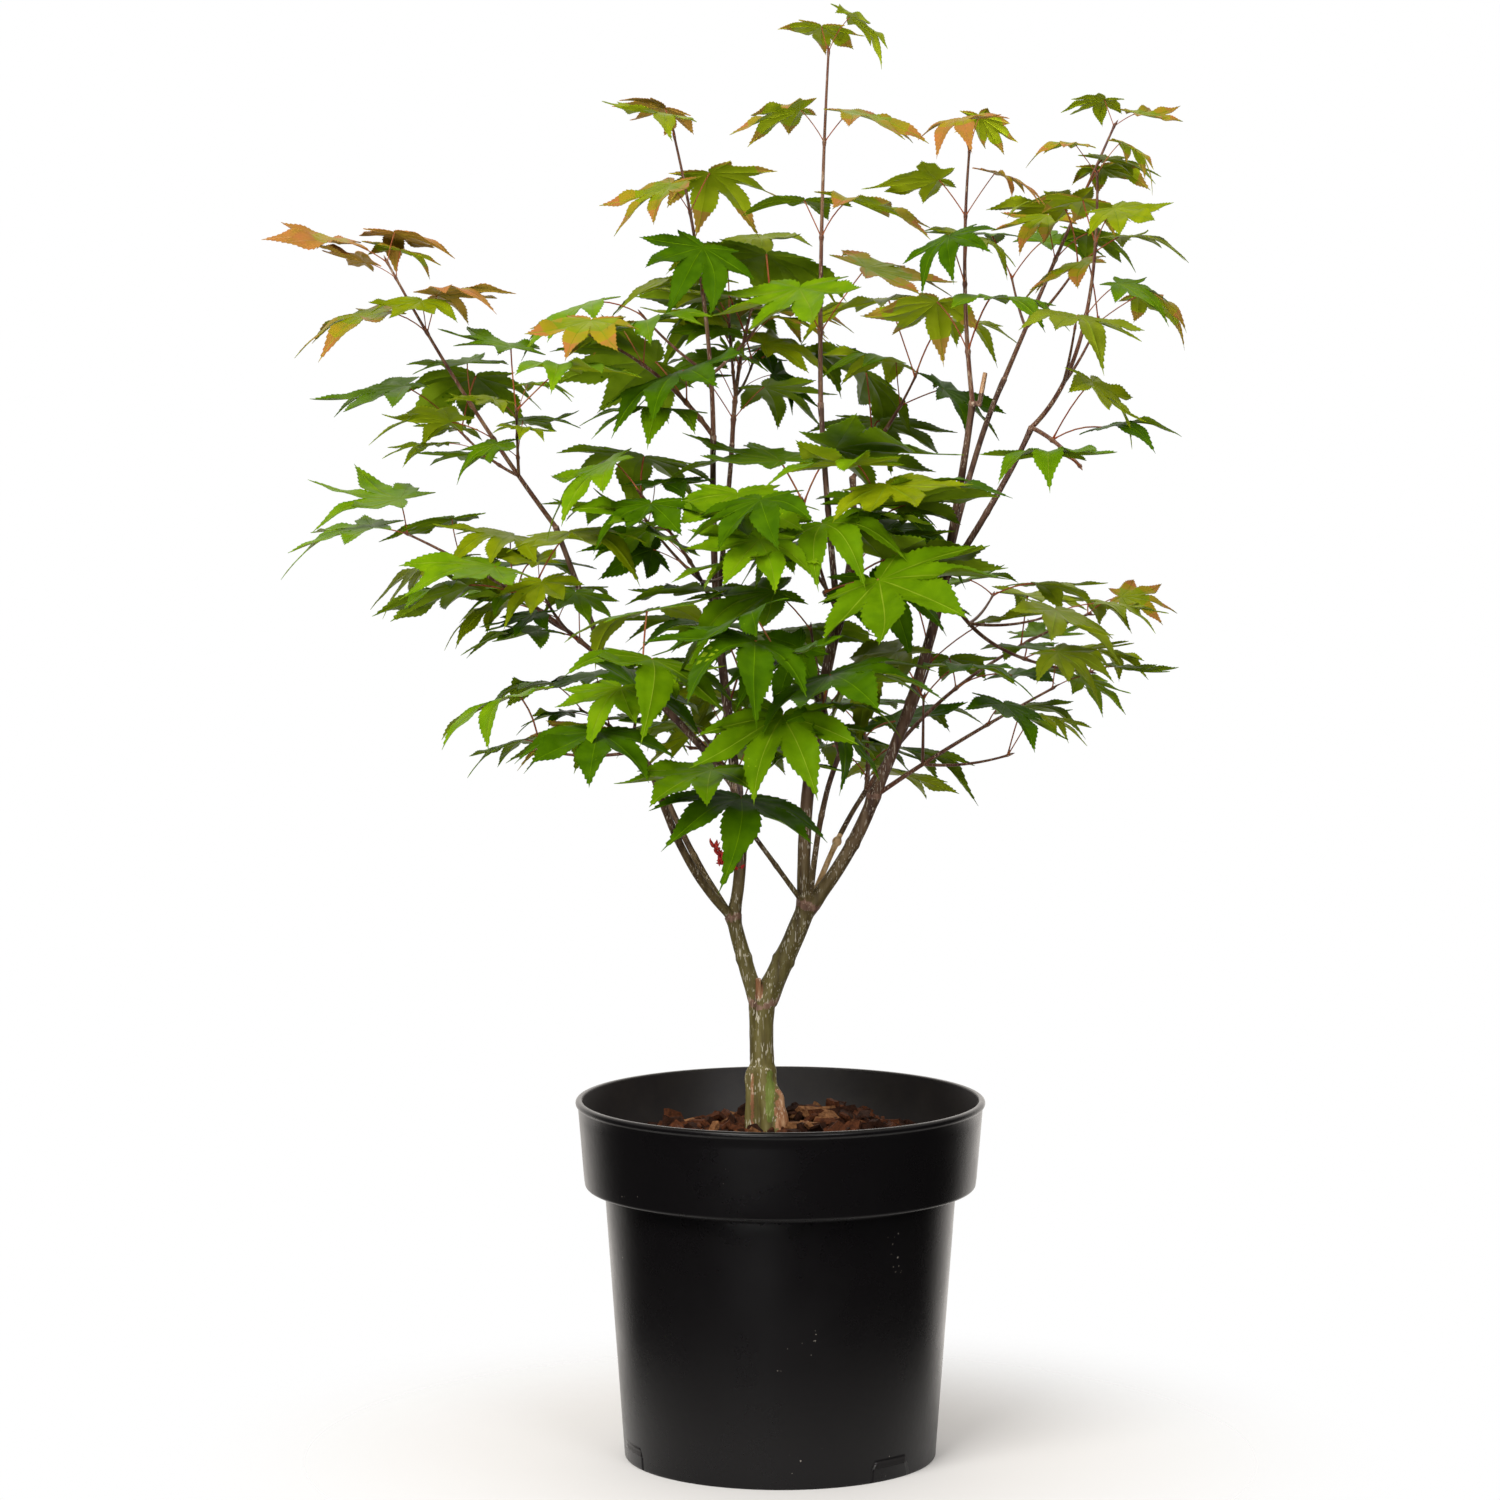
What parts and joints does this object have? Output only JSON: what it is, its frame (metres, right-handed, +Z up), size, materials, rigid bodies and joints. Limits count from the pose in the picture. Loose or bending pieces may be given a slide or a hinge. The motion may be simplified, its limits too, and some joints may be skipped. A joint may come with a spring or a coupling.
{
  "type": "potted japanese maple",
  "caption": "Young Japanese maple in a black round nursery pot: a short forked trunk, slender rising boughs and open, layered sprays of palmate leaves.",
  "frame": {"origin": "centre of the pot's underside, on the ground", "axes": "+Z up along the pot's axis, -Y towards the front, +X to the right seen from the front"},
  "size_m": [0.6191, 0.5148, 0.9463],
  "materials": {
    "plastic": "semi-gloss black moulded polypropylene",
    "compost": "rough red-brown bark chips",
    "old_bark": "smooth olive-brown bark with pale flecks",
    "young_bark": "smooth dark purplish-brown bark",
    "leaf": "thin satin leaf blades"
  },
  "bodies": {
    "root": {"pot": "plastic", "soil": "compost", "trunk": "old_bark", "bough_left": "old_bark", "bough_right": "old_bark", "bough_low_left": "young_bark", "bough_low_back": "young_bark", "bough_left_upright": "old_bark", "bough_far_left": "young_bark", "bough_upper_left": "young_bark", "bough_left_centre": "young_bark", "bough_left_top": "young_bark", "bough_left_inner": "young_bark", "bough_centre": "old_bark", "bough_leader": "young_bark", "bough_centre_back": "young_bark", "bough_front": "young_bark", "bough_front_left": "young_bark", "bough_back_low": "young_bark", "bough_sweep": "old_bark", "bough_sweep_upper": "young_bark", "bough_right_top": "young_bark", "bough_right_back": "young_bark", "bough_right_out": "young_bark", "leaves_low_left_front": "leaf", "leaves_far_left": "leaf", "leaves_upper_left": "leaf", "leaves_left_back": "leaf", "leaves_left_side": "leaf", "leaves_left_inner": "leaf", "leaves_centre_back": "leaf", "leaves_centre_front": "leaf", "leaves_centre_mid": "leaf", "leaves_front": "leaf", "leaves_front_low": "leaf", "leaves_back_low": "leaf", "leaves_low_right": "leaf", "leaves_right_low": "leaf", "leaves_right_back": "leaf", "leaves_right_top": "leaf", "leaves_left_top": "leaf", "leaves_right_back_top": "leaf", "leaves_right_side": "leaf", "leaves_right_outer": "leaf", "leaves_left_upper": "leaf", "leaves_low_left_back": "leaf", "leaves_leader": "leaf"}
  },
  "joints": []
}
